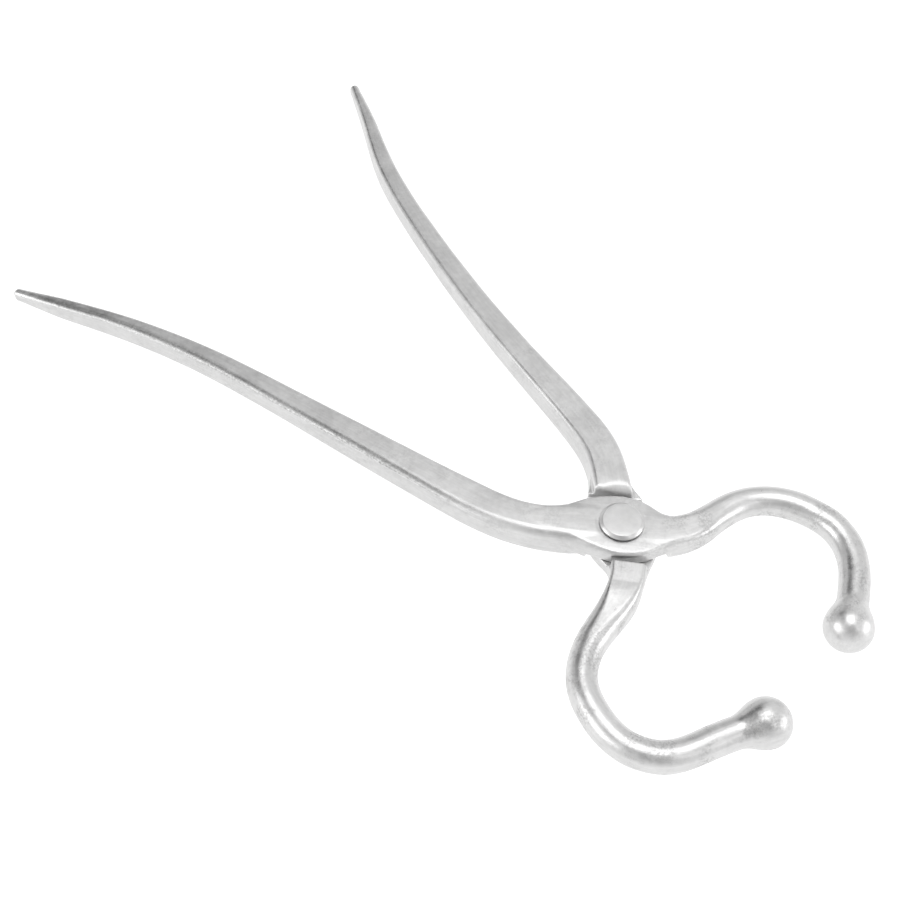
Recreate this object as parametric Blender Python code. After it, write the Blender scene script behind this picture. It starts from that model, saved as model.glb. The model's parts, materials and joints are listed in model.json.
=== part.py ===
"""Cattle nose holder: two forged steel arms crossed in a half lap on one rivet.

Frame: origin on the rivet axis at the end face of the rivet's tail, +X
towards the jaws, +Z up along the rivet.  The laps meet at LAP_HEIGHT.  The
upper arm has its handle on the -Y side and its jaw on the +Y side.  The lower
arm is the same kind of forging turned over about the X axis.  Each arm is
modelled about its own origin, on the rivet axis in the plane where the laps
meet.  Lengths are in metres.
"""
import math

import bmesh
import bpy
from mathutils import Vector

MM = 0.001
COLLECTION_NAME = "cattle_nose_holder"

# Half lap
LAP_THICKNESS = 6.0 * MM
FACE_GAP = 0.3 * MM
LAP_ANGLE = math.radians(53.5)
HANDLE_SHOULDER = 13.6 * MM
JAW_SHOULDER = 14.9 * MM
SHOULDER_ROUND = 3.0 * MM
LAP_CUT_WIDTH = 44.0 * MM
LAP_CUT_DEPTH = 12.0 * MM

# Rivet
SHANK_RADIUS = 4.0 * MM
BORE_RADIUS = 4.3 * MM
HEAD_RADIUS = 7.8 * MM
HEAD_HEIGHT = 1.6 * MM
HEAD_BEVEL = 0.9 * MM
TAIL_RADIUS = 6.4 * MM
TAIL_HEIGHT = 0.5 * MM
TAIL_BEVEL = 0.3 * MM
ROUND_STEPS = 40

# Height of the plane between the laps above the end of the rivet's tail
LAP_HEIGHT = LAP_THICKNESS + FACE_GAP + TAIL_HEIGHT

# Ball at the end of each jaw
BALL_RADIUS = 8.5 * MM
BALL_BLEND = 2.2 * MM

# Loft resolution
MERGE_DISTANCE = 0.02 * MM
CORNER_STEPS = 4
HANDLE_STEP = 11.0 * MM
LAP_STEP = 3.0 * MM
JAW_STEP = 4.5 * MM
CAP_RINGS = 4
BALL_RINGS = 7

# Centre lines in plan, from the handle tip through the rivet to the ball, in mm.
# Each list is in its own arm's frame, so the lower one is seen turned over.
UPPER_SPINE = (
    (-242.6, -82.5),
    (-224.8, -74.9),
    (-204.7, -66.1),
    (-163.6, -52.2),
    (-122.2, -43.2),
    (-82.6, -35.5),
    (-45.2, -27.8),
    (-26.1, -21.3),
    (-13.2, -11.5),
    (0.0, 0.0),
    (12.0, 9.3),
    (17.3, 18.4),
    (19.2, 27.6),
    (22.0, 38.5),
    (29.5, 48.0),
    (39.5, 53.0),
    (51.0, 54.0),
    (62.0, 49.0),
    (70.5, 38.5),
    (78.0, 24.5),
)
LOWER_SPINE = (
    (-242.3, -97.9),
    (-218.5, -85.0),
    (-195.7, -72.0),
    (-152.9, -54.8),
    (-113.4, -42.5),
    (-76.9, -33.3),
    (-42.9, -25.8),
    (-26.3, -20.0),
    (-13.6, -10.8),
    (0.0, 0.0),
    (12.0, 9.7),
    (18.0, 20.3),
    (20.2, 30.5),
    (22.5, 42.0),
    (28.0, 51.5),
    (40.5, 58.5),
    (53.5, 59.5),
    (64.5, 53.5),
    (71.5, 39.5),
    (79.5, 22.0),
)

# Section at each spine point: width, top height, bottom height, corner radius, in mm.
SECTIONS = (
    (4.3, 2.9, -2.9, 2.0),
    (5.8, 4.0, -4.0, 1.8),
    (6.9, 4.65, -4.65, 1.6),
    (8.6, 4.5, -4.5, 1.5),
    (10.0, 4.6, -4.6, 1.6),
    (11.2, 5.1, -5.1, 1.8),
    (13.0, 5.3, -5.3, 2.2),
    (12.8, 6.0, -6.1, 2.4),
    (13.6, 6.1, -6.3, 2.2),
    (13.0, 5.85, -5.0, 2.0),
    (12.6, 6.05, -5.0, 2.4),
    (11.6, 5.7, -5.2, 3.6),
    (11.2, 5.3, -5.3, 5.2),
    (10.6, 5.3, -5.3, 5.3),
    (10.6, 5.3, -5.3, 5.3),
    (10.6, 5.3, -5.3, 5.3),
    (10.6, 5.3, -5.3, 5.3),
    (10.6, 5.3, -5.3, 5.3),
    (10.6, 5.3, -5.3, 5.3),
    (10.6, 5.3, -5.3, 5.3),
)

# Lap plate: plan position and width of its sections across the rivet, in mm.
PLATE_SPINE = (
    (-22.0, -16.8),
    (-17.5, -13.9),
    (-12.4, -10.5),
    (-6.0, -5.3),
    (0.4, -0.5),
    (5.8, 4.2),
    (10.4, 8.1),
    (14.6, 12.2),
)
PLATE_WIDTHS = (9.5, 13.0, 17.1, 22.3, 25.2, 22.6, 16.6, 10.0)
PLATE_CORNER = 1.2 * MM
PLATE_RINGS = 24

# Material values: base colour, roughness, metallic
SATIN_STEEL = ((0.68, 0.68, 0.68, 1.0), 0.34, 1.0)
RIVET_STEEL = ((0.66, 0.66, 0.66, 1.0), 0.30, 1.0)


def clear_scene():
    """Remove whatever the startup file holds."""
    for item in list(bpy.data.objects):
        bpy.data.objects.remove(item, do_unlink=True)


def make_collection(name):
    """Make a collection and link it to the scene."""
    collection = bpy.data.collections.new(name)
    bpy.context.scene.collection.children.link(collection)
    return collection


def make_material(name, values):
    """Make a Principled material from colour, roughness and metallic values."""
    colour, roughness, metallic = values
    material = bpy.data.materials.new(name)
    material.use_nodes = True
    shader = material.node_tree.nodes["Principled BSDF"]
    shader.inputs["Base Color"].default_value = colour
    shader.inputs["Roughness"].default_value = roughness
    shader.inputs["Metallic"].default_value = metallic
    return material


def new_object(name, mesh_builder, collection):
    """Make an object from a filled bmesh."""
    mesh = bpy.data.meshes.new(name)
    mesh_builder.to_mesh(mesh)
    mesh_builder.free()
    result = bpy.data.objects.new(name, mesh)
    collection.objects.link(result)
    return result


def spline_value(values, position):
    """Catmull-Rom value at a position counted in steps between the given values."""
    last = len(values) - 1
    index = min(int(position), last - 1)
    part = position - index
    before = values[max(index - 1, 0)]
    start = values[index]
    end = values[index + 1]
    after = values[min(index + 2, last)]
    result = []
    for a, b, c, d in zip(before, start, end, after):
        slope_in = 0.5 * (c - a)
        slope_out = 0.5 * (d - b)
        change = c - b
        cubic = slope_in + slope_out - 2.0 * change
        square = 3.0 * change - 2.0 * slope_in - slope_out
        result.append(b + part * (slope_in + part * (square + part * cubic)))
    return result


def step_length(point):
    """Wanted distance between two rings of the loft at a plan position."""
    distance = math.hypot(point[0], point[1])
    if distance < 24.0 * MM:
        return LAP_STEP
    if point[0] < 0.0:
        return HANDLE_STEP
    return JAW_STEP


def smooth_larger(first, second, blend):
    """The larger of two lengths, with the crossing rounded over a blend length."""
    overlap = max(blend - abs(first - second), 0.0) / blend
    return max(first, second) + overlap * overlap * blend * 0.25


def spine_stations(spine):
    """Positions along the spine with the spacing that each region wants."""
    stations = [0.0]
    last = len(spine) - 1
    fine = 0.01
    position = 0.0
    travelled = 0.0
    previous = Vector(spine_point(spine, 0.0))
    while position < last - fine:
        position += fine
        point = Vector(spine_point(spine, position))
        travelled += (point - previous).length
        previous = point
        if travelled >= step_length(point):
            stations.append(position)
            travelled = 0.0
    if last - stations[-1] < 0.3:
        stations.pop()
    stations.append(float(last))
    return stations


def spine_point(spine, position):
    """Plan position on a spine, in metres."""
    x, y = spline_value(spine, position)
    return (x * MM, y * MM)


def spine_direction(spine, position):
    """Unit direction of travel along a spine."""
    last = len(spine) - 1
    low = spine_point(spine, max(position - 0.02, 0.0))
    high = spine_point(spine, min(position + 0.02, last))
    return (Vector(high) - Vector(low)).normalized()


def section_values(position):
    """Width, top, bottom and corner radius at a position along the arm, in metres."""
    width, top, bottom, corner = spline_value(SECTIONS, position)
    corner = min(corner, 0.5 * width, 0.5 * (top - bottom))
    return width * MM, top * MM, bottom * MM, corner * MM


def section_ring(builder, point, direction, values):
    """Add one rounded rectangle across the arm and return its vertices."""
    width, top, bottom, corner = values
    side = Vector((-direction.y, direction.x, 0.0))
    middle = Vector((point[0], point[1], 0.0))
    reach = 0.5 * width - corner
    centres = (
        (reach, top - corner),
        (-reach, top - corner),
        (-reach, bottom + corner),
        (reach, bottom + corner),
    )
    ring = []
    for quarter, (across, height) in enumerate(centres):
        for step in range(CORNER_STEPS + 1):
            angle = 0.5 * math.pi * (quarter + step / CORNER_STEPS)
            offset = across + corner * math.cos(angle)
            level = height + corner * math.sin(angle)
            ring.append(builder.verts.new(middle + side * offset + Vector((0.0, 0.0, level))))
    return ring


def join_rings(builder, rings):
    """Skin neighbouring rings and close both ends."""
    count = len(rings[0])
    for first, second in zip(rings, rings[1:]):
        for index in range(count):
            following = (index + 1) % count
            corners = (first[index], first[following], second[following], second[index])
            builder.faces.new(corners)
    builder.faces.new(tuple(reversed(rings[0])))
    builder.faces.new(tuple(rings[-1]))


def scaled_section(values, factor):
    """The same section shrunk about its middle height."""
    width, top, bottom, corner = values
    middle = 0.5 * (top + bottom)
    new_top = middle + (top - middle) * factor
    new_bottom = middle + (bottom - middle) * factor
    return width * factor, new_top, new_bottom, corner * factor


def tip_rings(builder, spine):
    """Rounded end of the handle, from the outermost ring inwards."""
    values = section_values(0.0)
    direction = spine_direction(spine, 0.0)
    origin = Vector(spine_point(spine, 0.0))
    radius = 0.5 * values[0]
    rings = []
    for step in range(CAP_RINGS, 0, -1):
        angle = math.radians(84.0) * step / CAP_RINGS
        point = origin - direction * radius * math.sin(angle)
        rings.append(section_ring(builder, point, direction, scaled_section(values, math.cos(angle))))
    return rings


def ball_rings(builder, spine):
    """Far half of the ball, from its widest ring outwards."""
    last = float(len(spine) - 1)
    direction = spine_direction(spine, last)
    origin = Vector(spine_point(spine, last))
    rings = []
    for step in range(1, BALL_RINGS + 1):
        angle = math.radians(84.0) * step / BALL_RINGS
        point = origin + direction * BALL_RADIUS * math.sin(angle)
        radius = BALL_RADIUS * math.cos(angle)
        rings.append(section_ring(builder, point, direction, round_section(radius)))
    return rings


def round_section(radius):
    """Section values of a full circle."""
    return 2.0 * radius, radius, -radius, radius


def neck_positions(spine, stations):
    """Replace the last stretch of stations with rings spaced round the ball."""
    last = float(len(spine) - 1)
    centre = Vector(spine_point(spine, last))
    start = 2.1 * BALL_RADIUS
    kept = [p for p in stations if (Vector(spine_point(spine, p)) - centre).length > start]
    distances = [start * (1.0 - step / 9.0) for step in range(9)]
    for distance in distances:
        low = last - 2.0
        high = last
        for _ in range(30):
            middle = 0.5 * (low + high)
            if (Vector(spine_point(spine, middle)) - centre).length > distance:
                low = middle
            else:
                high = middle
        kept.append(0.5 * (low + high))
    kept.append(last)
    return kept


def body_rings(builder, spine):
    """Rings from the handle tip to the middle of the ball."""
    last = float(len(spine) - 1)
    centre = Vector(spine_point(spine, last))
    rings = []
    for position in neck_positions(spine, spine_stations(spine)):
        point = spine_point(spine, position)
        direction = spine_direction(spine, position)
        values = section_values(position)
        distance = (Vector(point) - centre).length
        if distance < 2.2 * BALL_RADIUS:
            ball = math.sqrt(max(BALL_RADIUS ** 2 - distance ** 2, 0.0))
            radius = min(smooth_larger(0.5 * values[0], ball, BALL_BLEND), BALL_RADIUS)
            values = round_section(radius)
        rings.append(section_ring(builder, point, direction, values))
    return rings


def make_arm_blank(name, spine, collection):
    """Full-height forging of one arm before the lap and the bore are cut."""
    builder = bmesh.new()
    rings = tip_rings(builder, spine) + body_rings(builder, spine) + ball_rings(builder, spine)
    join_rings(builder, rings)
    bmesh.ops.recalc_face_normals(builder, faces=builder.faces[:])
    return new_object(name, builder, collection)


def make_lap_plate(name, collection):
    """Flared plate round the rivet that joins the handle bar to the jaw rod."""
    builder = bmesh.new()
    last = len(PLATE_SPINE) - 1
    widths = [(width,) for width in PLATE_WIDTHS]
    rings = []
    for step in range(PLATE_RINGS + 1):
        position = last * step / PLATE_RINGS
        width = spline_value(widths, position)[0] * MM
        values = (width, LAP_THICKNESS, -0.5 * MM, PLATE_CORNER)
        point = spine_point(PLATE_SPINE, position)
        direction = spine_direction(PLATE_SPINE, position)
        rings.append(section_ring(builder, point, direction, values))
    join_rings(builder, rings)
    bmesh.ops.recalc_face_normals(builder, faces=builder.faces[:])
    return finish_cutter(new_object(name, builder, collection))


def shoulder_arc(start, sign):
    """Rounded outer corner of a lap shoulder as points along the lap and in height."""
    points = []
    bottom = -6.6 * MM
    for step in range(5):
        angle = 0.5 * math.pi * step / 4
        along = start + sign * SHOULDER_ROUND * (1.0 - math.cos(angle))
        level = bottom + SHOULDER_ROUND * (1.0 - math.sin(angle))
        points.append((along, level))
    return points


def make_lap_cutter(name, collection):
    """Prism that clears the other arm's lap below this arm's lap."""
    face = 0.5 * FACE_GAP
    handle_side = shoulder_arc(-HANDLE_SHOULDER, -1.0)
    profile = [(JAW_SHOULDER, face), (-HANDLE_SHOULDER, face)]
    profile += handle_side
    profile += [(handle_side[-1][0], -LAP_CUT_DEPTH), (JAW_SHOULDER, -LAP_CUT_DEPTH)]
    along = Vector((math.cos(LAP_ANGLE), math.sin(LAP_ANGLE), 0.0))
    across = Vector((-along.y, along.x, 0.0))
    builder = bmesh.new()
    ends = []
    for side in (-0.5, 0.5):
        base = across * side * LAP_CUT_WIDTH
        ends.append([builder.verts.new(base + along * u + Vector((0.0, 0.0, z))) for u, z in profile])
    join_rings(builder, ends)
    bmesh.ops.recalc_face_normals(builder, faces=builder.faces[:])
    return finish_cutter(new_object(name, builder, collection))


def make_bore_cutter(name, collection):
    """Cylinder for the rivet hole."""
    builder = bmesh.new()
    bmesh.ops.create_cone(
        builder,
        cap_ends=True,
        segments=ROUND_STEPS,
        radius1=BORE_RADIUS,
        radius2=BORE_RADIUS,
        depth=40.0 * MM,
    )
    return finish_cutter(new_object(name, builder, collection))


def finish_cutter(cutter):
    """Keep a cutter out of renders and drawn as wire."""
    cutter.hide_render = True
    cutter.display_type = "WIRE"
    return cutter


def combine(target, other, operation):
    """Join or subtract another solid with an exact Boolean."""
    modifier = target.modifiers.new(other.name, "BOOLEAN")
    modifier.operation = operation
    modifier.solver = "EXACT"
    modifier.object = other


def shade(item, angle):
    """Smooth shading with edges sharper than an angle kept crisp."""
    mesh = item.data
    mesh.shade_smooth()
    mesh.set_sharp_from_angle(angle=math.radians(angle))


def make_arm(name, spine, turned_over, material, parts, cutters):
    """One complete arm; the turned-over one is rotated half a turn about X."""
    arm = make_arm_blank(name, spine, parts)
    plate = make_lap_plate(name + "_lap_plate", cutters)
    lap_cutter = make_lap_cutter(name + "_lap_cutter", cutters)
    bore_cutter = make_bore_cutter(name + "_bore_cutter", cutters)
    for item in (arm, plate, lap_cutter, bore_cutter):
        item.location = (0.0, 0.0, LAP_HEIGHT)
        if turned_over:
            item.rotation_euler = (math.pi, 0.0, 0.0)
    combine(arm, plate, "UNION")
    combine(arm, lap_cutter, "DIFFERENCE")
    combine(arm, bore_cutter, "DIFFERENCE")
    merge = arm.modifiers.new("merge_close_points", "WELD")
    merge.merge_threshold = MERGE_DISTANCE
    arm.data.materials.append(material)
    shade(arm, 40.0)
    return arm


def rivet_profile():
    """Radius and height pairs of the rivet from the top of its axis to the bottom."""
    head_seat = LAP_THICKNESS + FACE_GAP
    head_top = head_seat + HEAD_HEIGHT
    tail_seat = -head_seat
    tail_end = tail_seat - TAIL_HEIGHT
    return (
        (0.0, head_top),
        (HEAD_RADIUS - HEAD_BEVEL, head_top),
        (HEAD_RADIUS, head_top - HEAD_BEVEL),
        (HEAD_RADIUS, head_seat),
        (SHANK_RADIUS, head_seat),
        (SHANK_RADIUS, tail_seat),
        (TAIL_RADIUS, tail_seat),
        (TAIL_RADIUS, tail_end + TAIL_BEVEL),
        (TAIL_RADIUS - TAIL_BEVEL, tail_end),
        (0.0, tail_end),
    )


def make_rivet(name, material, parts):
    """Headed rivet turned about Z."""
    builder = bmesh.new()
    profile = [builder.verts.new((radius, 0.0, height)) for radius, height in rivet_profile()]
    edges = [builder.edges.new(pair) for pair in zip(profile, profile[1:])]
    bmesh.ops.spin(
        builder,
        geom=profile + edges,
        cent=(0.0, 0.0, 0.0),
        axis=(0.0, 0.0, 1.0),
        angle=2.0 * math.pi,
        steps=ROUND_STEPS,
        use_merge=True,
    )
    bmesh.ops.remove_doubles(builder, verts=builder.verts[:], dist=1e-6)
    bmesh.ops.recalc_face_normals(builder, faces=builder.faces[:])
    rivet = new_object(name, builder, parts)
    rivet.location = (0.0, 0.0, LAP_HEIGHT)
    rivet.data.materials.append(material)
    shade(rivet, 30.0)
    return rivet


def build():
    """Build the two arms and the rivet."""
    clear_scene()
    parts = make_collection(COLLECTION_NAME)
    cutters = make_collection("cutters")
    upper_steel = make_material("upper_arm_steel", SATIN_STEEL)
    lower_steel = make_material("lower_arm_steel", SATIN_STEEL)
    rivet_steel = make_material("rivet_steel", RIVET_STEEL)
    make_arm("upper_arm", UPPER_SPINE, False, upper_steel, parts, cutters)
    make_arm("lower_arm", LOWER_SPINE, True, lower_steel, parts, cutters)
    make_rivet("pivot_rivet", rivet_steel, parts)


build()
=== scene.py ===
"""Visual model of the cattle nose holder.

Each forged arm is described by a signed distance field in its own curved
coordinates: `s` along the arm from the rivet, `a` across it and `h` up.  The
field is meshed on a grid that follows the arm, so the ridges of the handle run
along the mesh.  The rivet is turned.  Lengths are in millimetres until a mesh
is made, and in metres from then on.
"""
import json
import math

import bpy
import numpy as np
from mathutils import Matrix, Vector


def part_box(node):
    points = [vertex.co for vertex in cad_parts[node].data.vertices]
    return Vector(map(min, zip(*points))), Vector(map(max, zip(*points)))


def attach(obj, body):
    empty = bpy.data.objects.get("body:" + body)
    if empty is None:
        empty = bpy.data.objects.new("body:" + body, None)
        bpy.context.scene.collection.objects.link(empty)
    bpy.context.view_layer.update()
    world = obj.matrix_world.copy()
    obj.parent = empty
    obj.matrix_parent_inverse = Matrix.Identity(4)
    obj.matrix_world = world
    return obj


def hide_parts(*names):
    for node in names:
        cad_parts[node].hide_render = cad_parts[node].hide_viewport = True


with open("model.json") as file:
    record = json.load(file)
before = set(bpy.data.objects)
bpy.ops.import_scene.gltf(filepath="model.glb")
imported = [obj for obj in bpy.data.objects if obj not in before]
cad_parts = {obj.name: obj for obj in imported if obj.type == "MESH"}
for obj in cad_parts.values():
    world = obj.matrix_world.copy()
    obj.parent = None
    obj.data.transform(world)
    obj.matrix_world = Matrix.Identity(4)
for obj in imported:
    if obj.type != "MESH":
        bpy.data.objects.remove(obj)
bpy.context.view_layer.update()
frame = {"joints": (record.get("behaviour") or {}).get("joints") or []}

MM = 0.001

# Centre lines in plan from the handle tip through the rivet to the ball.
UPPER_SPINE = (
    (-242.6, -82.5),
    (-224.8, -74.9),
    (-204.7, -66.1),
    (-163.6, -52.2),
    (-122.2, -43.2),
    (-82.6, -35.5),
    (-45.2, -27.8),
    (-26.1, -21.3),
    (-13.2, -11.5),
    (0.0, 0.0),
    (12.0, 9.3),
    (17.3, 18.4),
    (19.2, 27.6),
    (22.0, 38.5),
    (29.5, 48.0),
    (39.5, 53.0),
    (51.0, 54.0),
    (62.0, 49.0),
    (70.5, 38.5),
    (78.0, 24.5),
)
LOWER_SPINE = (
    (-242.3, -97.9),
    (-218.5, -85.0),
    (-195.7, -72.0),
    (-152.9, -54.8),
    (-113.4, -42.5),
    (-76.9, -33.3),
    (-42.9, -25.8),
    (-26.3, -20.0),
    (-13.6, -10.8),
    (0.0, 0.0),
    (12.0, 9.7),
    (18.0, 20.3),
    (20.2, 30.5),
    (22.5, 42.0),
    (28.0, 51.5),
    (40.5, 58.5),
    (53.5, 59.5),
    (64.5, 53.5),
    (71.5, 39.5),
    (79.5, 22.0),
)
RIVET_INDEX = 9

# Bar section at each spine point: half width towards the other handle, half
# width away from it, top, bottom, then the radii of the inner top, outer top,
# outer bottom and inner bottom corners.  The last row holds for the whole jaw.
UPPER_SECTIONS = (
    (2.05, 2.0, 2.6, -2.6, 1.7, 1.6, 1.7, 1.7),
    (2.75, 2.75, 3.95, -3.95, 1.2, 1.8, 1.3, 1.3),
    (3.0, 3.0, 4.6, -4.6, 1.2, 2.2, 1.3, 1.3),
    (4.1, 4.1, 4.5, -4.5, 1.2, 2.7, 1.4, 1.4),
    (5.0, 5.0, 4.5, -4.5, 1.3, 3.0, 1.5, 1.5),
    (5.8, 5.8, 5.1, -5.1, 1.3, 3.3, 1.6, 1.5),
    (6.75, 6.75, 5.2, -5.2, 1.4, 3.5, 2.0, 1.5),
    (6.4, 6.3, 6.0, -6.0, 1.4, 3.4, 2.4, 1.5),
    (6.5, 7.2, 5.9, -6.3, 1.4, 3.4, 2.4, 1.5),
    (6.3, 6.5, 4.6, -5.0, 1.5, 2.4, 2.0, 1.5),
    (5.9, 6.4, 5.3, -5.0, 2.0, 1.8, 2.4, 1.8),
    (5.6, 6.0, 5.7, -5.2, 3.6, 2.2, 3.6, 3.0),
    (5.5, 5.6, 5.3, -5.3, 5.0, 4.4, 5.2, 4.6),
    (5.25, 5.25, 5.25, -5.25, 5.2, 5.2, 5.2, 5.2),
)
LOWER_SECTIONS = (
    (2.1, 2.0, 2.7, -2.7, 1.7, 1.7, 1.7, 1.7),
    (3.0, 3.0, 4.0, -4.0, 1.3, 1.3, 1.2, 1.3),
    (3.9, 3.9, 4.6, -4.6, 1.3, 1.4, 1.2, 1.5),
    (4.5, 4.5, 4.45, -4.45, 1.3, 1.4, 1.3, 1.7),
    (5.0, 5.0, 4.55, -4.55, 1.3, 1.4, 1.3, 1.8),
    (5.45, 5.45, 5.1, -5.1, 1.3, 1.5, 1.4, 1.9),
    (6.2, 6.2, 5.3, -5.3, 1.4, 1.8, 1.5, 1.9),
    (6.35, 6.35, 6.0, -6.0, 1.5, 2.2, 1.5, 1.8),
    (6.5, 6.8, 5.9, -6.3, 1.5, 2.4, 1.5, 1.5),
    (6.3, 6.5, 4.6, -5.4, 1.5, 2.4, 2.0, 1.5),
    (6.2, 5.9, 5.3, -5.6, 2.0, 1.8, 2.0, 1.3),
    (6.0, 5.6, 5.6, -5.75, 3.6, 2.2, 2.8, 1.8),
    (5.7, 5.5, 5.3, -5.45, 5.0, 4.4, 4.6, 4.0),
    (5.25, 5.25, 5.25, -5.25, 5.2, 5.2, 5.2, 5.2),
)

# Lap plate: distance along the arm from the rivet, inner and outer half widths,
# heights of its middle and its edge, and the radii of its inner and outer top edges.
PLATE = (
    (-32.0, 3.0, 2.6, 4.9, 4.4, 1.4, 3.4),
    (-25.0, 6.0, 5.3, 5.3, 5.1, 1.4, 3.4),
    (-18.5, 7.6, 7.3, 5.6, 5.3, 1.2, 3.2),
    (-12.0, 10.0, 10.2, 5.85, 5.5, 1.0, 2.6),
    (-7.5, 11.1, 11.7, 5.85, 5.45, 0.9, 2.1),
    (-3.0, 11.7, 12.7, 5.85, 5.4, 0.9, 1.8),
    (0.0, 11.9, 12.8, 5.85, 5.35, 0.9, 1.6),
    (3.0, 11.6, 12.5, 5.85, 5.35, 0.9, 1.5),
    (6.0, 11.0, 11.9, 5.85, 5.35, 0.9, 1.4),
    (9.6, 9.5, 10.6, 5.85, 5.35, 1.0, 1.4),
    (13.0, 7.8, 8.2, 5.75, 5.3, 1.3, 1.5),
    (17.0, 6.2, 6.2, 5.5, 5.0, 1.8, 1.6),
    (21.0, 4.6, 4.8, 4.9, 4.3, 2.2, 1.8),
    (27.0, 2.6, 2.8, 3.4, 2.4, 2.0, 1.8),
)
PLATE_BOTTOM = -1.5
PLATE_BLEND = 1.6
PLATE_FLATNESS = 3.5

# Half lap
FACE_GAP = 0.3
LAP_ANGLE = math.radians(53.5)
HANDLE_SHOULDER = 13.6
HANDLE_SHOULDER_TOP = 6.55
SHOULDER_ROUND = 2.2
SHOULDER_SWELL = 3.0
SHOULDER_REACH = 7.5
JAW_SHOULDER = 14.9
JAW_FACET_TOP = 5.6
JAW_FACET_SLOPE = -0.01
JAW_FACET_REACH = 8.0
JAW_FACET_RISE = 0.15
JAW_FACET_EDGE = 0.4
BREAK_EDGE = 0.35
LAP_FILLET = 0.5

# Seat under the rivet head
SEAT_LEVEL = 6.03
SEAT_RADIUS = 8.6
SEAT_SLOPE = 0.5

# Rivet.  The tail is seated as far below the laps' meeting face as the head is
# above it.  The crown's pairs are a radius and a height above the top of the rim.
SHANK_RADIUS = 4.0
BORE_RADIUS = 4.3
HEAD_RADIUS = 7.75
HEAD_SEAT = 6.3
HEAD_TOP = 7.88
HEAD_BEVEL = 0.9
HEAD_CROWN = ((0.0, 0.08), (2.5, 0.07), (4.8, 0.03))
HEAD_TOP_ROUND = 0.3
HEAD_SIDE_ROUND = 0.35
HEAD_SIDE_DROP = 0.1
HEAD_FOOT_CHAMFER = 0.25
NECK_CHAMFER = 0.2
TAIL_RADIUS = 6.35
TAIL_END = -6.8
TAIL_BEVEL = 0.3
TAIL_FLAT = 3.0
RIVET_STEPS = 144
RIVET_SHARP_ANGLE = 40.0
# Waves round the rim that keep the rivet from being perfectly round: number, share, phase
RIM_WAVES = ((3.0, 0.003, 0.7), (7.0, 0.002, 0.0))

# Ball, and how far before the end of the centre line it starts and is full
BALL_RADIUS = 8.38
BALL_BLEND = 4.0
BALL_START = 12.0
BALL_FULL = 4.0

# Crown of the ground faces, which is gone where the jaw has turned into round rod
FACE_CROWN = 0.16
CROWN_FADE = (5.0, 25.0)

# Unevenness left by forging and hand polishing: heights, then wave lengths
HANDLE_WAVE = 0.035
JAW_WAVE = 0.07
JAW_DENT_SHARE = 0.12
HANDLE_DENT_SHARE = 0.15
BALL_CALM = 0.6
JAW_WAVE_LENGTHS = (10.0, 24.0)
DENT_LENGTHS = (3.5, 7.0)
HANDLE_WAVE_LENGTHS = (18.0, 50.0)
WAVE_COUNT = 28
UPPER_SEED = 11
LOWER_SEED = 23

# Where the finish changes from ground handle to polished jaw, along the arm
POLISH_START = 6.0
POLISH_END = 34.0

# Strip of painted dark reflection on the top face beside the outer ridge: its edges from the outer side,
# its length at the tip and its end towards the rivet, and how deep below the top it may lie
DARK_REFLECTION_NEAR_EDGE = (0.3, 0.8)
DARK_REFLECTION_FAR_EDGE = (1.9, 3.5)
DARK_REFLECTION_TIP_FADE = 14.0
DARK_REFLECTION_END_FADE = (-80.0, -40.0)
DARK_REFLECTION_DEPTH = 1.5

# The handle ends this far beyond the first spine point
TIP_LENGTH = 1.75

# Reach of the worn-edge and lap-cut marks
EDGE_TURN = (0.3, 0.85)
CUT_REACH = (0.12, 0.35)

# Looks of the steel: grey levels, roughness, and what each mark adds
HANDLE_GREY = 0.60
JAW_GREY = 0.62
RIVET_GREY = 0.60
STEEL_WARMTH = 0.002
HANDLE_ROUGHNESS = 0.36
JAW_ROUGHNESS = 0.31
RIVET_ROUGHNESS = 0.33
EDGE_LIGHTER = 0.06
EDGE_SMOOTHER = 0.05
WORN_DARKER = 0.16
WORN_ROUGHER = 0.08
CUT_LIGHTER = 0.12
CUT_ROUGHER = 0.14
# Share of the colour left on the strip of painted dark reflection beside the ridge
DARK_REFLECTION_LEAVES = 0.5
HANDLE_MARKS = 0.35

# Depths of the bumps, in metres
COARSE_BUMP = 0.00006
SPECKLE_BUMP = 0.00003
FINE_BUMP = 0.00002

# Values that most of a noise lies between
NOISE_LOW = 0.3
NOISE_HIGH = 0.7

# Studio: grey level of the surroundings, and darker parts of them given by
# azimuth, elevation, inner and outer reach in degrees, and how much they lose
WORLD_LEVEL = 0.95
DARK_LOBES = (
    (-45.0, 50.0, 10.0, 38.0, 0.4),
    (165.0, 37.0, 6.0, 20.0, 0.92),
    (138.0, 24.0, 4.0, 20.0, 0.35),
    (196.0, 28.0, 6.0, 26.0, 0.3),
    (207.0, 61.0, 9.0, 21.0, 0.62),
)
# Soft boxes: name, azimuth, elevation, distance, width, height, radiance
SOFT_BOXES = (
    ("soft_box_overhead", 135.0, 84.0, 1.3, 0.8, 0.8, 2.0),
    ("soft_box_left", 240.0, 25.0, 1.5, 0.9, 0.5, 2.6),
    ("soft_box_right", 33.0, 18.0, 1.5, 0.9, 0.5, 2.4),
    ("soft_box_front_right", -6.0, 46.0, 1.5, 0.25, 0.4, 1.6),
)
FLOOR_GREY = 0.12
FLOOR_ROUGHNESS = 0.9
FLOOR_GLOW = 1.1
FLOOR_HALF_SIZE = 4.0
FLOOR_DROP = 0.0001

# Camera: plan position, height above the laps, tilt from straight down and turn
CAMERA_PLACE = (0.1423, -0.2256)
CAMERA_HEIGHT = 0.39
CAMERA_TILT = 37.2
CAMERA_TURN = 45.0
CAMERA_LENS = 54.0
CAMERA_SENSOR = 36.0
CAMERA_CLIP = 20.0

# Table of the centre line, and how far it runs on past both ends
SPINE_SAMPLES = 8001
TABLE_STEP = 0.25
SECTION_SOFTENING = 16
RUN_ON_BEFORE = (-12.0, -6.0)
RUN_ON_AFTER = (6.0, 14.0)

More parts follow.
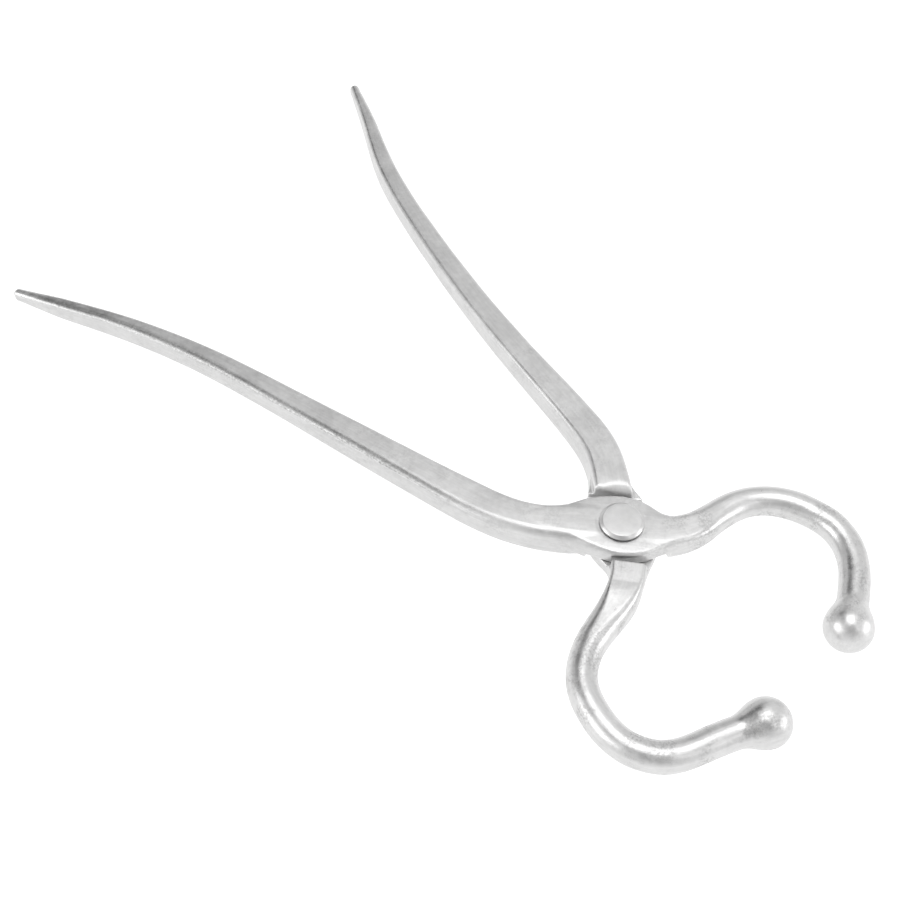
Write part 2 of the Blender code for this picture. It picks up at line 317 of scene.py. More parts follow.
# Mesh grid
ACROSS_STEP = 0.36
LAP_STEP = 0.36
JAW_STEP = 0.55
HANDLE_STEP = 0.9
BALL_STEP = 0.42
STEP_CHANGE = (30.0, 45.0)
FINE_TIP = 4.0
GRID_ACROSS = 15.0
GRID_HEIGHT = 9.2
END_MARGIN = 2.0

# Probing distance and longest move of a vertex put on the surface, the field
# value of a cut that takes nothing away, and the least flat left between corners
PROBE = 0.04
LONGEST_MOVE = 0.3
FAR_INSIDE = -10.0
LEAST_FLAT = 0.02

# Vertices are put on the surface, evened out by a share and put back on it
FIRST_ROUNDS = 2
EVENING_SHARE = 0.5
LAST_ROUNDS = 3


def cubic_spline(places, values, wanted):
    """Natural cubic spline through rows of values at increasing places."""
    count = len(places)
    gap = np.diff(places)
    slope = np.diff(values, axis=0) / gap[:, None]
    system = np.eye(count)
    right = np.zeros_like(values)
    for k in range(1, count - 1):
        system[k, k - 1 : k + 2] = (gap[k - 1], 2.0 * (gap[k - 1] + gap[k]), gap[k])
        right[k] = 6.0 * (slope[k] - slope[k - 1])
    bend = np.linalg.solve(system, right)
    index = np.clip(np.searchsorted(places, wanted) - 1, 0, count - 2)
    width = gap[index][:, None]
    before = (wanted - places[index])[:, None] / width
    after = 1.0 - before
    curved = (after ** 3 - after) * bend[index] + (before ** 3 - before) * bend[index + 1]
    return after * values[index] + before * values[index + 1] + curved * width ** 2 / 6.0


def soften(values, reach):
    """Moving average of rows, held at both ends."""
    kernel = np.hanning(2 * reach + 1)
    kernel /= kernel.sum()
    padded = np.pad(values, ((reach, reach), (0, 0)), mode="edge")
    return np.stack([np.convolve(column, kernel, mode="valid") for column in padded.T], axis=1)


def smooth_step(low, high, value):
    """0 below low, 1 above high, and smooth between them."""
    part = np.clip((value - low) / (high - low), 0.0, 1.0)
    return part * part * (3.0 - 2.0 * part)


def round_max(first, second, radius):
    """Intersection of two fields with the edge rounded to a radius."""
    inside = np.minimum(np.maximum(first, second), -radius)
    return inside + np.hypot(np.maximum(first + radius, 0.0), np.maximum(second + radius, 0.0))


def round_min(first, second, radius):
    """Union of two fields with a fillet of a radius."""
    return -round_max(-first, -second, radius)


def blend_min(first, second, length):
    """Union of two fields that swells gently where they meet."""
    overlap = np.maximum(length - np.abs(first - second), 0.0) / length
    return np.minimum(first, second) - 0.25 * length * overlap * overlap


def waves(points, lengths, seed):
    """Smooth unevenness: seeded waves in many directions, about -1 to 1."""
    shortest, longest = lengths
    rng = np.random.default_rng(seed)
    total = np.zeros(len(points))
    for _ in range(WAVE_COUNT):
        direction = rng.normal(size=3)
        direction /= np.linalg.norm(direction)
        length = shortest * (longest / shortest) ** rng.random()
        phase = rng.random() * 2.0 * math.pi
        total += np.cos(points @ direction * (2.0 * math.pi / length) + phase)
    return total / math.sqrt(WAVE_COUNT)


class Arm:
    """One forged arm in its own frame, with the laps meeting at height zero."""

    line_columns = ("x", "y", "tx", "ty")
    section_columns = ("inner", "outer", "top", "bottom", "r_it", "r_ot", "r_ob", "r_ib")

    def __init__(self, spine, sections, seed):
        self.seed = seed
        self.make_table(spine, sections)
        self.ball = (self.table["x_ball"], self.table["y_ball"])

    def make_table(self, spine, sections):
        """Sample the centre line and the section at even steps."""
        knots = np.array(spine)
        chord = np.concatenate([[0.0], np.cumsum(np.linalg.norm(np.diff(knots, axis=0), axis=1))])
        fine = np.linspace(0.0, chord[-1], SPINE_SAMPLES)
        plan = cubic_spline(chord, knots, fine)
        length = np.concatenate([[0.0], np.cumsum(np.linalg.norm(np.diff(plan, axis=0), axis=1))])
        places = np.interp(chord, fine, length)
        self.start = -places[RIVET_INDEX]
        self.end = length[-1] + self.start
        s = np.arange(self.start, self.end, TABLE_STEP)
        plan = cubic_spline(chord, knots, np.interp(s - self.start, length, fine))
        tangent = np.gradient(plan, s, axis=0)
        tangent /= np.linalg.norm(tangent, axis=1)[:, None]
        known = places[: len(sections)] + self.start
        rows = np.stack([np.interp(s, known, column) for column in np.array(sections).T], axis=1)
        rows = soften(rows, SECTION_SOFTENING)
        before = s[0] + np.array(RUN_ON_BEFORE)
        after = s[-1] + np.array(RUN_ON_AFTER)
        table = {"s": np.concatenate([before, s, after])}
        for k, name in enumerate(("x", "y")):
            head = plan[0, k] + (before - s[0]) * tangent[0, k]
            tail = plan[-1, k] + (after - s[-1]) * tangent[-1, k]
            table[name] = np.concatenate([head, plan[:, k], tail])
            table["t" + name] = np.pad(tangent[:, k], 2, mode="edge")
            table[name + "_ball"] = plan[-1, k]
        for k, name in enumerate(self.section_columns):
            table[name] = np.pad(rows[:, k], 2, mode="edge")
        self.table = table

    def rows(self, s):
        """Centre line and section values at positions along the arm."""
        names = self.line_columns + self.section_columns
        return {name: np.interp(s, self.table["s"], self.table[name]) for name in names}

    def plan(self, row, a):
        """Plan position of a point a to the left of the centre line."""
        return row["x"] - a * row["ty"], row["y"] + a * row["tx"]

    def bar(self, row, s, a, h):
        """Rounded bar of the handle, the lap and the jaw rod."""
        half_width = 0.5 * (row["inner"] + row["outer"])
        half_height = 0.5 * (row["top"] - row["bottom"])
        across = a - 0.5 * (row["inner"] - row["outer"])
        up = h - 0.5 * (row["top"] + row["bottom"])
        upper = up > 0.0
        inner = across > 0.0
        top_radius = np.where(inner, row["r_it"], row["r_ot"])
        bottom_radius = np.where(inner, row["r_ib"], row["r_ob"])
        radius = np.where(upper, top_radius, bottom_radius)
        radius = np.minimum(radius, np.minimum(half_width, half_height) - LEAST_FLAT)
        crown = FACE_CROWN * (1.0 - smooth_step(*CROWN_FADE, s))
        da = np.abs(across) - half_width + radius + crown * np.minimum((up / half_height) ** 2, 1.0)
        dh = np.abs(up) - half_height + radius + crown * np.minimum((across / half_width) ** 2, 1.0)
        ds = np.maximum(self.start - s - TIP_LENGTH, s - self.end) + radius
        outside = np.sqrt(sum(np.maximum(side, 0.0) ** 2 for side in (da, dh, ds)))
        return outside + np.minimum(np.maximum(np.maximum(da, dh), ds), 0.0) - radius

    def plate(self, s, a, h):
        """Flared plate round the rivet, highest along its middle."""
        columns = np.array(PLATE).T
        values = [np.interp(s, columns[0], column) for column in columns[1:]]
        inner, outer, peak, rim, r_inner, r_outer = values
        half = 0.5 * (inner + outer)
        offset = a - 0.5 * (inner - outer)
        share = np.minimum(np.abs(offset) / half, 1.0)
        top = rim + (peak - rim) * (1.0 - share ** PLATE_FLATNESS)
        radius = np.where(offset > 0.0, r_inner, r_outer)
        edge = round_max(np.abs(offset) - half, h - top, radius)
        ends = np.maximum(columns[0][0] - s, s - columns[0][-1])
        return np.maximum(np.maximum(edge, PLATE_BOTTOM - h), ends)

    def unevenness(self, points, s):
        """How far forging and polishing leave the surface from its plain shape."""
        share = smooth_step(POLISH_START, POLISH_END, s)
        lumps = waves(points, JAW_WAVE_LENGTHS, self.seed)
        dents = waves(points, DENT_LENGTHS, self.seed + 1)
        sweeps = waves(points, HANDLE_WAVE_LENGTHS, self.seed + 2)
        ball = smooth_step(self.end - BALL_START, self.end - BALL_FULL, s)
        jaw = JAW_WAVE * (1.0 - BALL_CALM * ball) * (lumps + JAW_DENT_SHARE * dents)
        handle = HANDLE_WAVE * (sweeps + HANDLE_DENT_SHARE * dents)
        return share * jaw + (1.0 - share) * handle

    def field(self, row, s, a, h, offset=0.0):
        """Signed distance to the arm's surface, negative inside."""
        x, y = self.plan(row, a)
        ball = np.sqrt((x - self.ball[0]) ** 2 + (y - self.ball[1]) ** 2 + h * h) - BALL_RADIUS
        blank = blend_min(self.bar(row, s, a, h), ball, BALL_BLEND)
        blank = blend_min(blank, self.plate(s, a, h), PLATE_BLEND)
        blank = blank + offset
        radial = np.hypot(x, y)
        seat = h - SEAT_LEVEL - SEAT_SLOPE * np.maximum(radial - SEAT_RADIUS, 0.0)
        seat = np.where(radial < 2.0 * SEAT_RADIUS, seat, FAR_INSIDE)
        blank = round_max(blank, seat, BREAK_EDGE)
        cut = round_max(blank, self.lap(x, y, h), BREAK_EDGE)
        return np.maximum(cut, BORE_RADIUS - radial)

    def lap(self, x, y, h):
        """What is kept beside the half lap: above its face or beyond its shoulders."""
        along = x * math.cos(LAP_ANGLE) + y * math.sin(LAP_ANGLE)
        above = 0.5 * FACE_GAP - h
        across = (y * math.cos(LAP_ANGLE) - x * math.sin(LAP_ANGLE)) / SHOULDER_REACH
        radius = SHOULDER_ROUND + SHOULDER_SWELL * np.maximum(1.0 - across * across, 0.0)
        handle = round_max(along + HANDLE_SHOULDER, -h - HANDLE_SHOULDER_TOP, radius)
        beyond = along - JAW_SHOULDER
        facet = -h - JAW_FACET_TOP - JAW_FACET_SLOPE * beyond
        facet = facet - JAW_FACET_RISE * np.maximum(beyond - JAW_FACET_REACH, 0.0)
        jaw = round_max(JAW_SHOULDER - along, facet, JAW_FACET_EDGE)
        return round_min(above, np.minimum(handle, jaw), LAP_FILLET)

    def stations(self):
        """Grid positions along the arm, closest round the lap."""
        places = [self.start - TIP_LENGTH - END_MARGIN]
        limit = self.end + BALL_RADIUS + END_MARGIN
        while places[-1] < limit:
            s = places[-1]
            if s < self.start + FINE_TIP:
                step = ACROSS_STEP
            elif s < 0.0:
                step = LAP_STEP + (HANDLE_STEP - LAP_STEP) * smooth_step(*STEP_CHANGE, -s)
            elif s > self.end - BALL_START:
                step = BALL_STEP
            else:
                step = LAP_STEP + (JAW_STEP - LAP_STEP) * smooth_step(*STEP_CHANGE, s)
            places.append(s + step)
        return np.array(places)

    def scale(self, points):
        """1 on the strip of the top face beside its outer ridge where a dark reflection is painted."""
        s, a, h = points.T
        row = self.rows(s)
        inset = a + row["outer"]
        beside = smooth_step(*DARK_REFLECTION_NEAR_EDGE, inset) * (1.0 - smooth_step(*DARK_REFLECTION_FAR_EDGE, inset))
        from_tip = smooth_step(self.start, self.start + DARK_REFLECTION_TIP_FADE, s)
        along = from_tip * (1.0 - smooth_step(*DARK_REFLECTION_END_FADE, s))
        return beside * along * (h > row["top"] - DARK_REFLECTION_DEPTH)

    def mesh_points(self):
        """Vertices in arm coordinates, and the quads between them."""
        s = self.stations()
        a = np.arange(-GRID_ACROSS, GRID_ACROSS + ACROSS_STEP, ACROSS_STEP)
        h = np.arange(-GRID_HEIGHT, GRID_HEIGHT + ACROSS_STEP, ACROSS_STEP)
        row = {name: values[:, None, None] for name, values in self.rows(s).items()}
        values = self.field(row, s[:, None, None], a[None, :, None], h[None, None, :])
        points, quads = surface_net(values)
        coordinates = []
        for k, places in enumerate((s, a, h)):
            coordinates.append(np.interp(points[:, k], np.arange(len(places)), places))
        return np.stack(coordinates, axis=1), quads

    def project(self, points, rounds):
        """Move vertices onto the uneven surface along the field's gradient."""
        for _ in range(rounds):
            own = self.place(points)
            offset = self.unevenness(own, points[:, 0])
            value = self.value(points, offset)
            slope = np.zeros_like(points)
            for k in range(3):
                shift = np.zeros(3)
                shift[k] = PROBE
                rise = self.value(points + shift, offset) - self.value(points - shift, offset)
                slope[:, k] = rise / (2.0 * PROBE)
            size = np.maximum((slope ** 2).sum(axis=1), 0.2)
            move = -(value / size)[:, None] * slope
            reach = np.linalg.norm(move, axis=1)
            move *= np.minimum(1.0, LONGEST_MOVE / np.maximum(reach, 1e-9))[:, None]
            points = points + move
        return points

    def value(self, points, offset):
        """Field at points given in arm coordinates."""
        s, a, h = points.T
        return self.field(self.rows(s), s, a, h, offset)

    def place(self, points):
        """Own-frame positions of points given in arm coordinates."""
        s, a, h = points.T
        x, y = self.plan(self.rows(s), a)
        return np.stack([x, y, h], axis=1)


def surface_net(values):
    """Vertices in grid steps and quads of the zero surface of a grid of values."""
    inside = values < 0.0
    shape = tuple(n - 1 for n in values.shape)
    total = np.zeros(shape + (3,))
    count = np.zeros(shape)
    crossings = []
    for axis in range(3):
        low = [slice(None)] * 3
        high = [slice(None)] * 3
        low[axis] = slice(0, -1)
        high[axis] = slice(1, None)
        first = values[tuple(low)]
        second = values[tuple(high)]
        crossing = inside[tuple(low)] != inside[tuple(high)]
        places = np.argwhere(crossing)
        first = first[crossing]
        part = first / (first - second[crossing])
        crossings.append((axis, places, inside[tuple(low)][crossing]))
        others = [k for k in range(3) if k != axis]
        spot = places.astype(float)
        spot[:, axis] += part
        for down in ((0, 0), (0, 1), (1, 0), (1, 1)):
            cell = places.copy()
            cell[:, others[0]] -= down[0]
            cell[:, others[1]] -= down[1]
            good = ((cell >= 0) & (cell < np.array(shape))).all(axis=1)
            index = tuple(cell[good].T)
            np.add.at(total, index, spot[good])
            np.add.at(count, index, 1.0)
    used = count > 0.0
    number = np.full(shape, -1)
    number[used] = np.arange(used.sum())
    points = total[used] / count[used][:, None]
    quads = []
    for axis, places, start_inside in crossings:
        others = [(axis + 1) % 3, (axis + 2) % 3]
        corners = []
        for down in ((0, 0), (1, 0), (1, 1), (0, 1)):
            cell = places.copy()
            cell[:, others[0]] -= down[0]
            cell[:, others[1]] -= down[1]
            corners.append(number[tuple(cell.T)])
        quad = np.stack(corners, axis=1)
        quad[~start_inside] = quad[~start_inside][:, ::-1]
        quads.append(quad)
    return points, np.concatenate(quads)


def relax(points, quads, share):
    """Move vertices part of the way to the mean of their neighbours."""
    total = np.zeros_like(points)
    count = np.zeros(len(points))
    for k in range(4):
        first = quads[:, k]
        second = quads[:, (k + 1) % 4]
        for one, other in ((first, second), (second, first)):
            for axis in range(3):
                total[:, axis] += np.bincount(one, weights=points[other, axis], minlength=len(points))
            count += np.bincount(one, minlength=len(points))
    return points + share * (total / count[:, None] - points)


def mesh_normals(positions, quads):
    """Area-weighted vertex normals."""
    across = positions[quads[:, 2]] - positions[quads[:, 0]]
    along = positions[quads[:, 3]] - positions[quads[:, 1]]
    face = np.cross(across, along)
    normals = np.zeros_like(positions)
    for k in range(4):
        for axis in range(3):
            normals[:, axis] += np.bincount(quads[:, k], weights=face[:, axis], minlength=len(positions))
    return normals / np.maximum(np.linalg.norm(normals, axis=1), 1e-12)[:, None]


def edge_strength(positions, quads):
    """1 on worn ridges, 0 on faces, from how fast the normals turn."""
    normals = mesh_normals(positions, quads)
    turn = np.zeros(len(positions))
    for k in range(4):
        first = quads[:, k]
        second = quads[:, (k + 1) % 4]
        step = positions[second] - positions[first]
        bend = ((normals[second] - normals[first]) * step).sum(axis=1)
        bend /= np.maximum((step ** 2).sum(axis=1), 1e-6)
        np.maximum.at(turn, first, bend)
        np.maximum.at(turn, second, bend)
    return smooth_step(*EDGE_TURN, turn)


def add_attribute(mesh, name, kind, values):
    """Store one value or vector per vertex for the materials."""
    attribute = mesh.attributes.new(name, kind, "POINT")
    key = "vector" if kind == "FLOAT_VECTOR" else "value"
    attribute.data.foreach_set(key, np.asarray(values, np.float32).ravel())


def mesh_object(name, positions, faces):
    """Smooth-shaded object from positions in metres and lists of corners."""
    mesh = bpy.data.meshes.new(name)
    mesh.from_pydata(positions.tolist(), [], faces)
    mesh.validate()
    mesh.shade_smooth()
    result = bpy.data.objects.new(name, mesh)
    bpy.context.scene.collection.objects.link(result)
    return result


def make_arm(name, spine, sections, seed, turned_over, lap_height, material):
    """Forged arm; the turned-over one is rotated half a turn about X and has no painted dark reflection
    strip.
    """
    arm = Arm(spine, sections, seed)
    points, quads = arm.mesh_points()
    points = arm.project(points, FIRST_ROUNDS)
    points = relax(points, quads, EVENING_SHARE)
    points = arm.project(points, LAST_ROUNDS)
    own = arm.place(points)
    edge = edge_strength(own, quads)
    cut = 1.0 - smooth_step(*CUT_REACH, np.abs(arm.lap(*own.T)))
    cut = cut * (own[:, 0] < 0.0)
    # Painted dark reflection strip beside the outer ridge, kept in the attribute named scale; the
    # turned-over arm has none
    scale = np.zeros(len(points)) if turned_over else arm.scale(points)
    placed = own * MM
    if turned_over:
        placed[:, 1:] = -placed[:, 1:]
    placed[:, 2] += lap_height
    result = mesh_object(name, placed, quads.tolist())
    add_attribute(result.data, "along_arm", "FLOAT_VECTOR", points * MM)
    polish = smooth_step(POLISH_START, POLISH_END, points[:, 0])
    marks = {"polish": polish, "edge": edge, "cut": cut, "scale": scale}
    for mark, values in marks.items():
        add_attribute(result.data, mark, "FLOAT", values)
    result.data.materials.append(material)
    return result


def arc(centre, radius, start, end, steps):
    """Profile points on an arc, angles in degrees."""
    points = []
    for step in range(steps + 1):
        angle = math.radians(start + (end - start) * step / steps)
        points.append((centre[0] + radius * math.cos(angle), centre[1] + radius * math.sin(angle)))
    return points


def rivet_profile():
    """Radius and height pairs of the rivet from the top of its axis to the bottom."""
    rim = HEAD_RADIUS - HEAD_BEVEL - HEAD_TOP_ROUND
    points = [(radius, HEAD_TOP + height) for radius, height in HEAD_CROWN]
    points += arc((rim, HEAD_TOP - HEAD_TOP_ROUND), HEAD_TOP_ROUND, 90.0, 50.0, 3)
    side = HEAD_RADIUS - HEAD_SIDE_ROUND
    drop = HEAD_TOP - HEAD_BEVEL - HEAD_SIDE_DROP
    points += arc((side, drop), HEAD_SIDE_ROUND, 45.0, 0.0, 4)
    points += [(HEAD_RADIUS, HEAD_SEAT + HEAD_FOOT_CHAMFER), (HEAD_RADIUS - HEAD_FOOT_CHAMFER, HEAD_SEAT)]
    points += [(SHANK_RADIUS + NECK_CHAMFER, HEAD_SEAT), (SHANK_RADIUS, HEAD_SEAT - NECK_CHAMFER)]
    points += [(SHANK_RADIUS, NECK_CHAMFER - HEAD_SEAT), (SHANK_RADIUS + NECK_CHAMFER, -HEAD_SEAT)]
    points += [(TAIL_RADIUS - NECK_CHAMFER, -HEAD_SEAT), (TAIL_RADIUS, -HEAD_SEAT - NECK_CHAMFER)]
    points += arc((TAIL_RADIUS - TAIL_BEVEL, TAIL_END + TAIL_BEVEL), TAIL_BEVEL, 0.0, -90.0, 5)
    points += [(TAIL_FLAT, TAIL_END), (0.0, TAIL_END)]
    return points


def ring_faces(rings):
    """Faces of a turned surface closed by a point at its top and one at its bottom."""
    top = rings * RIVET_STEPS
    bottom = (rings - 1) * RIVET_STEPS
    faces = []
    for ring in range(rings - 1):
        high = ring * RIVET_STEPS
        low = high + RIVET_STEPS
        for step in range(RIVET_STEPS):
            following = (step + 1) % RIVET_STEPS
            faces.append((high + step, low + step, low + following, high + following))
    for step in range(RIVET_STEPS):
        following = (step + 1) % RIVET_STEPS
        faces.append((top, step, following))
        faces.append((top + 1, bottom + following, bottom + step))
    return faces


def make_rivet(name, lap_height, material):
    """Turned rivet with its upset tail."""
    profile = np.array(rivet_profile())
    angles = np.arange(RIVET_STEPS) * 2.0 * math.pi / RIVET_STEPS
    rings = profile[1:-1]
    wobble = 1.0 + sum(share * np.cos(count * angles + phase) for count, share, phase in RIM_WAVES)
    x = rings[:, :1] * (wobble * np.cos(angles))[None, :]
    y = rings[:, :1] * (wobble * np.sin(angles))[None, :]
    z = np.repeat(rings[:, 1:], RIVET_STEPS, axis=1)
    positions = np.stack([x, y, z], axis=-1).reshape(-1, 3)
    ends = [(0.0, 0.0, profile[0, 1]), (0.0, 0.0, profile[-1, 1])]
    positions = np.concatenate([positions, ends]) * MM
    positions[:, 2] += lap_height
    result = mesh_object(name, positions, ring_faces(len(rings)))
    result.data.set_sharp_from_angle(angle=math.radians(RIVET_SHARP_ANGLE))
    result.data.materials.append(material)
    return result


class Nodes:
    """Short calls for building one material's node tree."""

    def __init__(self, name):
        self.material = bpy.data.materials.new(name)
        self.material.use_nodes = True
        self.tree = self.material.node_tree
        self.shader = self.tree.nodes["Principled BSDF"]

    def add(self, kind, **values):
        """Add a node and set its properties."""
        node = self.tree.nodes.new(kind)
        for key, value in values.items():
            setattr(node, key, value)
        return node

    def link(self, output, socket):
        """Join an output to an input."""
        self.tree.links.new(output, socket)

    def feed(self, socket, value):
        """Set an input to a number or join an output to it."""
        if isinstance(value, (int, float)):
            socket.default_value = value
        else:
            self.link(value, socket)

    def attribute(self, name, output):
        """Output of a vertex attribute."""
        node = self.add("ShaderNodeAttribute", attribute_name=name)
        return node.outputs[output]

    def stretch(self, vector, scale):
        """Vector multiplied by a scale along each axis."""
        node = self.add("ShaderNodeVectorMath", operation="MULTIPLY")
        self.link(vector, node.inputs[0])
        node.inputs[1].default_value = scale
        return node.outputs[0]

    def noise(self, vector, scale, detail=3.0, roughness=0.55):
        """Noise value, 0 to 1."""
        node = self.add("ShaderNodeTexNoise")
        self.link(vector, node.inputs["Vector"])
        node.inputs["Scale"].default_value = scale
        node.inputs["Detail"].default_value = detail
        node.inputs["Roughness"].default_value = roughness
        return node.outputs["Fac"]

    def spread(self, value, low, high, new_low, new_high):
        """Value mapped from one range to another."""
        node = self.add("ShaderNodeMapRange")
        self.link(value, node.inputs["Value"])
        limits = {"From Min": low, "From Max": high, "To Min": new_low, "To Max": new_high}
        for key, number in limits.items():
            node.inputs[key].default_value = number
        return node.outputs["Result"]

    def ramp(self, value, low, high):
        """0 at low and 1 at high."""
        return self.spread(value, low, high, 0.0, 1.0)

    def vary(self, noise, new_low, new_high):
        """Noise mapped to a range."""
        return self.spread(noise, NOISE_LOW, NOISE_HIGH, new_low, new_high)

    def math(self, operation, first, second):
        """Arithmetic on outputs or numbers."""
        node = self.add("ShaderNodeMath", operation=operation)
        self.feed(node.inputs[0], first)
        self.feed(node.inputs[1], second)
        return node.outputs[0]

    def mix(self, factor, first, second):
        """Number between two outputs or numbers."""
        node = self.add("ShaderNodeMix", data_type="FLOAT")
        self.feed(node.inputs[0], factor)
        self.feed(node.inputs[2], first)
        self.feed(node.inputs[3], second)
        return node.outputs[0]

    def grey(self, value):
        """Colour from a grey level, very slightly warm."""
        node = self.add("ShaderNodeCombineColor")
        self.link(self.math("MULTIPLY", value, 1.0 + STEEL_WARMTH), node.inputs[0])
        self.link(value, node.inputs[1])
        self.link(self.math("MULTIPLY", value, 1.0 - STEEL_WARMTH), node.inputs[2])
        return node.outputs[0]

    def bump(self, height, distance, strength, normal=None):
        """Bumped normal."""
        node = self.add("ShaderNodeBump")
        self.link(height, node.inputs["Height"])
        node.inputs["Distance"].default_value = distance
        node.inputs["Strength"].default_value = strength
        if normal is not None:
            self.link(normal, node.inputs["Normal"])
        return node.outputs["Normal"]


def finish_steel(n, shade, rough, normal):
    """Join the worked-out values of a bare steel to its shader."""
    n.link(n.grey(shade), n.shader.inputs["Base Color"])
    n.link(rough, n.shader.inputs["Roughness"])
    n.link(normal, n.shader.inputs["Normal"])
    n.shader.inputs["Metallic"].default_value = 1.0
    return n.material


def arm_steel(name):
    """Forged steel: satin ground handle, hand-polished jaw, brighter worn ridges, and a painted dark
    reflection beside the upper handle's outer ridge.
    """
    n = Nodes(name)
    along = n.attribute("along_arm", "Vector")
    polish = n.attribute("polish", "Fac")
    edge = n.attribute("edge", "Fac")
    cut = n.attribute("cut", "Fac")
    patches = n.noise(along, scale=70.0, detail=2.0)
    mottle = n.noise(along, scale=520.0, detail=4.0)
    streaks = n.noise(n.stretch(along, (90.0, 1400.0, 1400.0)), scale=1.0)
    speckle = n.noise(along, scale=1300.0, roughness=0.6)
    grain = n.noise(along, scale=3200.0, detail=2.0)
    clouds = n.noise(along, scale=110.0)
    # Painted dark reflection: the strip kept in the scale attribute, broken up by speckle
    scale = n.attribute("scale", "Fac")
    scale = n.math("MULTIPLY", scale, n.spread(speckle, 0.36, 0.62, 0.55, 1.0))
    marks = n.mix(polish, HANDLE_MARKS, 1.0)
    worn = n.ramp(clouds, 0.5, 0.62)
    worn = n.math("MULTIPLY", worn, n.ramp(speckle, 0.42, 0.6))
    worn = n.math("MULTIPLY", worn, marks)
    shade = n.mix(polish, HANDLE_GREY, JAW_GREY)
    shade = n.math("ADD", shade, n.vary(patches, -0.03, 0.03))
    shade = n.math("ADD", shade, n.vary(mottle, -0.035, 0.035))
    shade = n.math("ADD", shade, n.vary(streaks, -0.03, 0.03))
    shade = n.math("ADD", shade, n.math("MULTIPLY", edge, EDGE_LIGHTER))
    shade = n.math("SUBTRACT", shade, n.math("MULTIPLY", worn, WORN_DARKER))
    shade = n.math("ADD", shade, n.math("MULTIPLY", cut, CUT_LIGHTER))
    # Painted dark reflection darkens the colour on that strip
    shade = n.math("MULTIPLY", shade, n.spread(scale, 0.0, 1.0, 1.0, DARK_REFLECTION_LEAVES))
    rough = n.mix(polish, HANDLE_ROUGHNESS, JAW_ROUGHNESS)
    rough = n.math("ADD", rough, n.math("MULTIPLY", cut, CUT_ROUGHER))
    rough = n.math("ADD", rough, n.vary(patches, -0.03, 0.05))
    rough = n.math("ADD", rough, n.spread(mottle, 0.35, 0.7, -0.03, 0.06))
    rough = n.math("ADD", rough, n.math("MULTIPLY", worn, WORN_ROUGHER))
    rough = n.math("SUBTRACT", rough, n.math("MULTIPLY", edge, EDGE_SMOOTHER))
    coarse = n.math("ADD", n.math("MULTIPLY", mottle, 0.7), n.math("MULTIPLY", streaks, 0.3))
    normal = n.bump(coarse, COARSE_BUMP, 0.7)
    normal = n.bump(n.math("MULTIPLY", speckle, marks), SPECKLE_BUMP, 0.9, normal)
    normal = n.bump(grain, FINE_BUMP, 0.5, normal)
    return finish_steel(n, shade, rough, normal)


def rivet_steel(name):
    """Turned steel with faint rings."""
    n = Nodes(name)
    place = n.add("ShaderNodeTexCoord").outputs["Object"]
    flat = n.stretch(place, (1.0, 1.0, 0.0))
    length = n.add("ShaderNodeVectorMath", operation="LENGTH")
    n.link(flat, length.inputs[0])
    rings = n.add("ShaderNodeTexNoise", noise_dimensions="1D")
    n.link(length.outputs["Value"], rings.inputs["W"])
    rings.inputs["Scale"].default_value = 2600.0
    mottle = n.noise(place, scale=420.0, detail=4.0)
    grain = n.noise(place, scale=2600.0, detail=2.0)
    shade = n.math("ADD", RIVET_GREY, n.vary(mottle, -0.03, 0.03))
    rough = n.math("ADD", RIVET_ROUGHNESS, n.vary(mottle, -0.04, 0.05))
    normal = n.bump(rings.outputs["Fac"], FINE_BUMP, 0.5)
    normal = n.bump(grain, FINE_BUMP, 0.5, normal)
    return finish_steel(n, shade, rough, normal)


def make_floor(level):
    """White sweep that the tool lies on."""
    size = FLOOR_HALF_SIZE
    corners = [(-size, -size, level), (size, -size, level), (size, size, level), (-size, size, level)]
    floor = mesh_object("studio_floor", np.array(corners), [(0, 1, 2, 3)])
    n = Nodes("studio_white")
    n.shader.inputs["Base Color"].default_value = (FLOOR_GREY, FLOOR_GREY, FLOOR_GREY, 1.0)
    n.shader.inputs["Roughness"].default_value = FLOOR_ROUGHNESS
    n.shader.inputs["Specular IOR Level"].default_value = 0.0
    n.shader.inputs["Emission Color"].default_value = (1.0, 1.0, 1.0, 1.0)
    n.shader.inputs["Emission Strength"].default_value = FLOOR_GLOW
    floor.data.materials.append(n.material)


def direction_of(azimuth, elevation):
    """Unit vector; azimuth from +X towards +Y, in degrees."""
    turn = math.radians(azimuth)
    rise = math.radians(elevation)
    level = math.cos(rise)
    return Vector((level * math.cos(turn), level * math.sin(turn), math.sin(rise)))


def area_light(name, azimuth, elevation, distance, width, height, radiance):
    """Rectangular soft box facing the rivet; azimuth from +X, in degrees."""
    light = bpy.data.lights.new(name, "AREA")
    light.shape = "RECTANGLE"
    light.size = width
    light.size_y = height
    light.energy = radiance * math.pi * width * height
    item = bpy.data.objects.new(name, light)
    direction = direction_of(azimuth, elevation)
    item.location = direction * distance
    item.rotation_euler = direction.to_track_quat("Z", "Y").to_euler()
    bpy.context.scene.collection.objects.link(item)


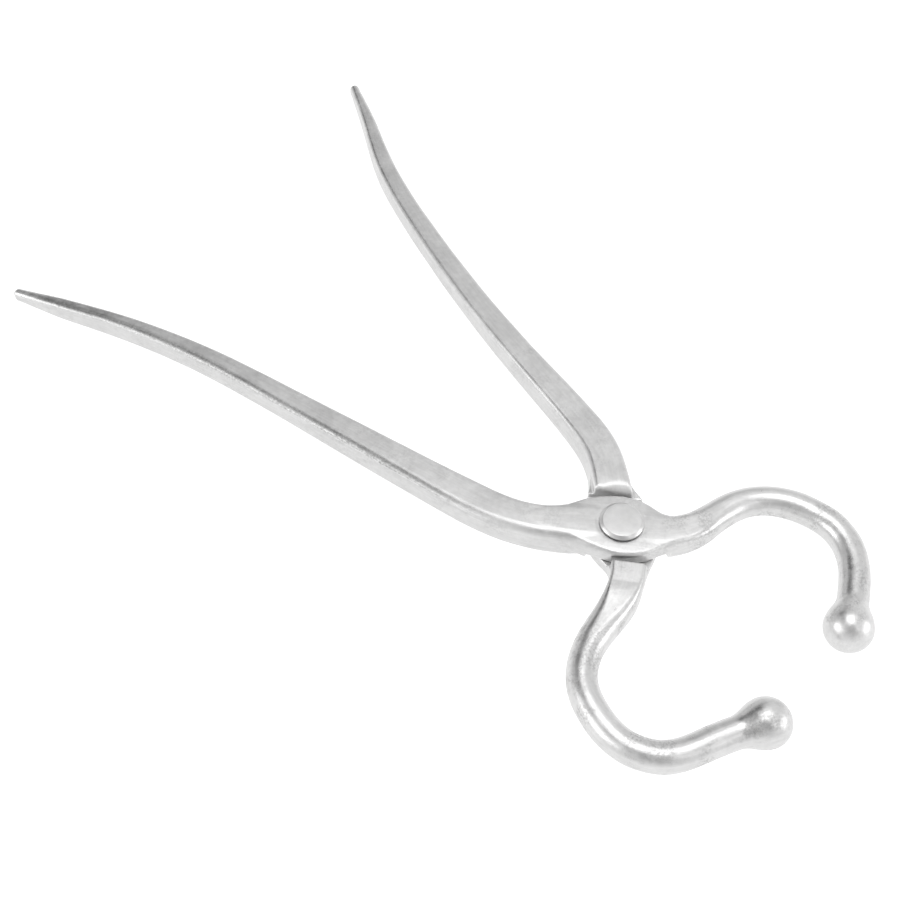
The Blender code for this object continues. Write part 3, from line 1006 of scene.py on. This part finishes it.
def make_world():
    """Studio surroundings: even grey, darker round the camera and beyond the handles."""
    world = bpy.data.worlds.new("studio")
    world.use_nodes = True
    bpy.context.scene.world = world
    tree = world.node_tree
    place = tree.nodes.new("ShaderNodeTexCoord")
    level = WORLD_LEVEL
    for azimuth, elevation, inner, outer, drop in DARK_LOBES:
        dot = tree.nodes.new("ShaderNodeVectorMath")
        dot.operation = "DOT_PRODUCT"
        tree.links.new(place.outputs["Generated"], dot.inputs[0])
        dot.inputs[1].default_value = direction_of(azimuth, elevation)
        spread = tree.nodes.new("ShaderNodeMapRange")
        spread.interpolation_type = "SMOOTHSTEP"
        tree.links.new(dot.outputs["Value"], spread.inputs["Value"])
        spread.inputs["From Min"].default_value = math.cos(math.radians(outer))
        spread.inputs["From Max"].default_value = math.cos(math.radians(inner))
        spread.inputs["To Min"].default_value = 0.0
        spread.inputs["To Max"].default_value = drop
        take = tree.nodes.new("ShaderNodeMath")
        take.operation = "SUBTRACT"
        if isinstance(level, float):
            take.inputs[0].default_value = level
        else:
            tree.links.new(level, take.inputs[0])
        tree.links.new(spread.outputs["Result"], take.inputs[1])
        level = take.outputs[0]
    tree.links.new(level, tree.nodes["Background"].inputs["Strength"])
    tree.nodes["Background"].inputs["Color"].default_value = (1.0, 1.0, 1.0, 1.0)


def make_camera(lap_height):
    """Camera looking down on the tool from its +X, -Y side."""
    data = bpy.data.cameras.new("camera")
    data.lens = CAMERA_LENS
    data.sensor_width = CAMERA_SENSOR
    data.clip_end = CAMERA_CLIP
    camera = bpy.data.objects.new("camera", data)
    camera.location = (*CAMERA_PLACE, lap_height + CAMERA_HEIGHT)
    camera.rotation_euler = (math.radians(CAMERA_TILT), 0.0, math.radians(CAMERA_TURN))
    bpy.context.scene.collection.objects.link(camera)
    bpy.context.scene.camera = camera


def build():
    """Build the pieces over the frame and light them."""
    lap_height = frame["joints"][0]["pos_m"][2]
    lower_steel = arm_steel("lower_arm_steel_look")
    upper_steel = arm_steel("upper_arm_steel_look")
    upper = make_arm(
        "upper_arm_forging", UPPER_SPINE, UPPER_SECTIONS, UPPER_SEED, False, lap_height, upper_steel
    )
    lower = make_arm(
        "lower_arm_forging", LOWER_SPINE, LOWER_SECTIONS, LOWER_SEED, True, lap_height, lower_steel
    )
    rivet = make_rivet("turned_rivet", lap_height, rivet_steel("rivet_steel_look"))
    for piece, body, node, slot in (
        (upper, "upper_body", "upper_arm", "upper_arm_steel"),
        (lower, "lower_body", "lower_arm", "lower_arm_steel"),
        (rivet, "lower_body", "pivot_rivet", "rivet_steel"),
    ):
        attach(piece, body)
        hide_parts(node)
    make_floor(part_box("upper_arm")[0].z - FLOOR_DROP)
    for box in SOFT_BOXES:
        area_light(*box)
    make_world()
    make_camera(lap_height)
    bpy.context.scene.view_settings.view_transform = "Standard"


build()
